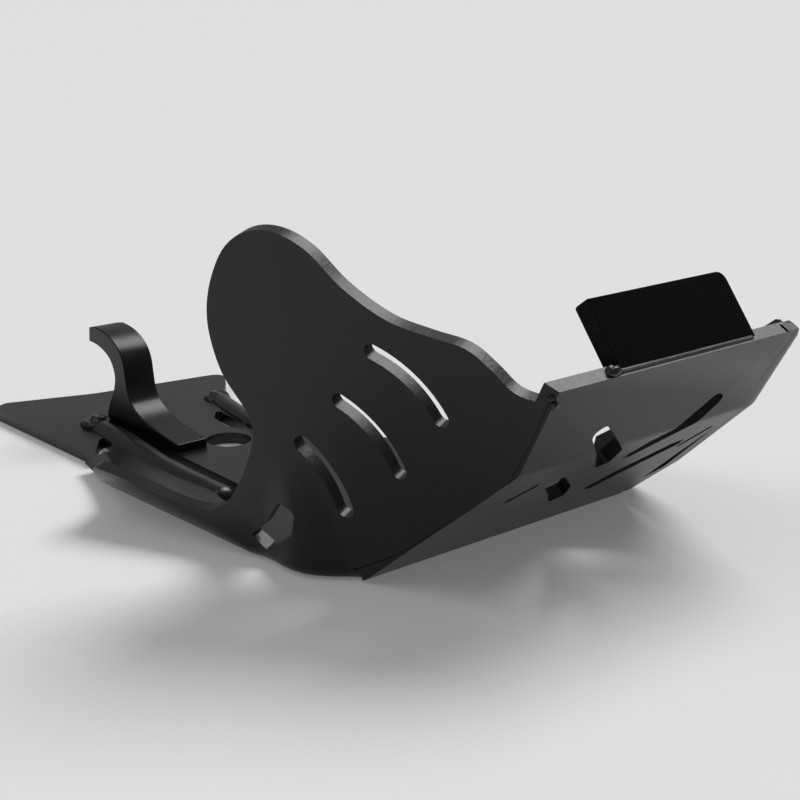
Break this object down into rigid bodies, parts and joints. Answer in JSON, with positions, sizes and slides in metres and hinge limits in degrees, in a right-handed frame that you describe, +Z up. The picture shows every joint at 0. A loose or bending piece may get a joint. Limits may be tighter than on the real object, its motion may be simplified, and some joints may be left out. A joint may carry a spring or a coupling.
{
  "type": "motorcycle skid plate",
  "caption": "Heat-bent thick plastic belly guard for an off-road motorcycle: sloped front, tall slotted side wing, flat belly, tail tongue with a welded hook.",
  "frame": {"origin": "centre of the drain hole, on the underside of the flat belly", "axes": "+X across towards the low side, +Y towards the tail, +Z up; the front of the bike is towards -Y"},
  "size_m": [0.3194, 0.5543, 0.2023],
  "materials": {
    "sheet": "satin",
    "pad": "matt, slightly grainy",
    "weld": "smooth melted bead"
  },
  "bodies": {
    "root": {"skid_sheet": "sheet", "rear_hook": "sheet", "front_pad": "pad", "near_weld": "weld", "far_weld": "weld", "seam_weld": "weld", "pad_weld": "weld"}
  },
  "joints": []
}
